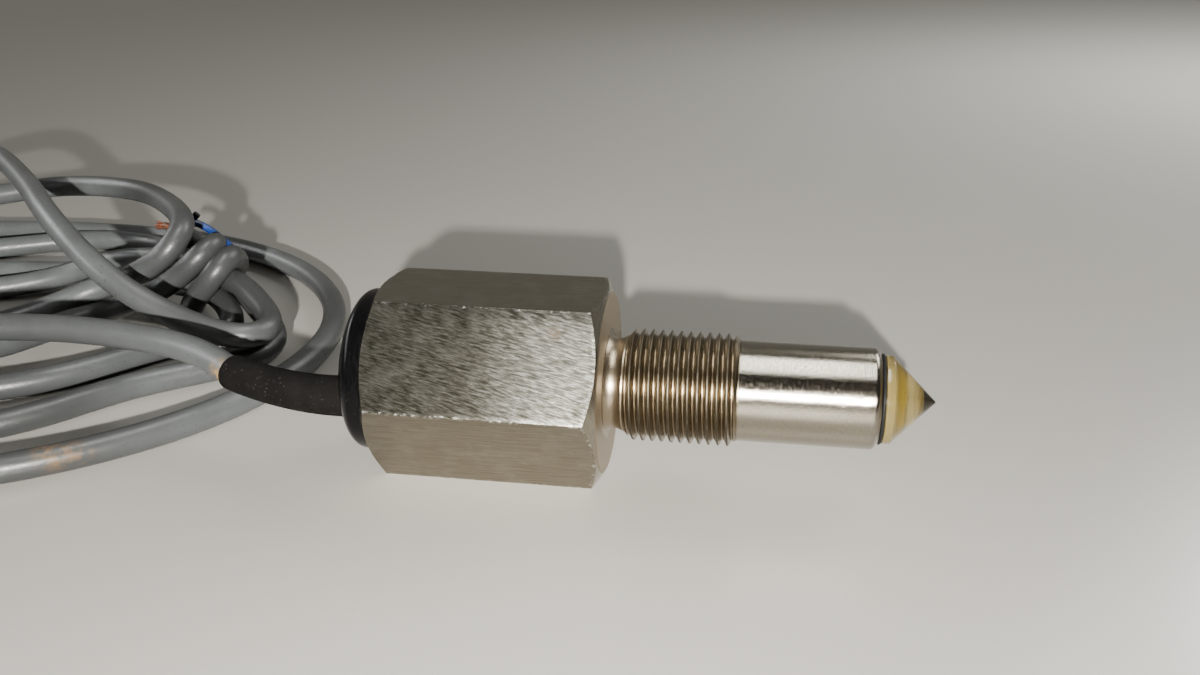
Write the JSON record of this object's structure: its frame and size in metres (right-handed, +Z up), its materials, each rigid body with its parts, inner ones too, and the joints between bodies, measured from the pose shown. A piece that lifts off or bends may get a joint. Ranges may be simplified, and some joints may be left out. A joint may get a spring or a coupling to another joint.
{
  "type": "optical level sensor",
  "caption": "Stainless optical liquid level sensor with hexagon body, M18 thread, amber cone prism tip, black rear plug and coiled grey cable.",
  "frame": {"origin": "under the middle of the sensor's length without its cable, on the plane it rests on", "axes": "+X along the sensor's axis towards the prism tip, +Z up, square to the hexagon flat it rests on"},
  "size_m": [0.2788, 0.1442, 0.03],
  "materials": {
    "stainless_steel": "milled and turned, fine sanding marks",
    "amber_plastic": "clear amber, polished",
    "black_rubber": "matt",
    "black_plastic": "glossy moulded",
    "sleeve_rubber": "matt, slightly brown",
    "clear_epoxy": "clear",
    "smoked_epoxy": "dark clear",
    "board_laminate": "green lacquer",
    "chip_plastic": "matt black",
    "chip_ceramic": "matt ceramic",
    "tantalum_yellow": "satin",
    "crimp_brass": "satin",
    "cable_grey": "satin PVC",
    "core_brown": "satin",
    "core_blue": "satin",
    "core_black": "satin",
    "bare_copper": "bright strands"
  },
  "bodies": {
    "root": {"housing": "stainless_steel", "prism_tip": "amber_plastic", "tip_seal": "black_rubber", "optics_holder": "black_plastic", "infrared_emitter": "clear_epoxy", "phototransistor": "smoked_epoxy", "circuit_board": "board_laminate", "amplifier_chip": "chip_plastic", "voltage_regulator": "chip_plastic", "output_transistor": "chip_plastic", "filter_capacitor": "tantalum_yellow", "protection_diode": "chip_plastic", "resistor_1": "chip_plastic", "resistor_2": "chip_plastic", "resistor_3": "chip_plastic", "resistor_4": "chip_plastic", "capacitor_1": "chip_ceramic", "capacitor_2": "chip_ceramic", "capacitor_3": "chip_ceramic", "rear_plug": "black_plastic", "plug_seal": "black_rubber", "cable_sleeve": "sleeve_rubber", "cable_lead": "cable_grey", "cable_coil": "cable_grey", "cable_anchor": "crimp_brass", "core_brown": "core_brown", "core_blue": "core_blue", "core_black": "core_black", "conductor_brown": "bare_copper", "conductor_blue": "bare_copper", "conductor_black": "bare_copper"}
  },
  "joints": []
}
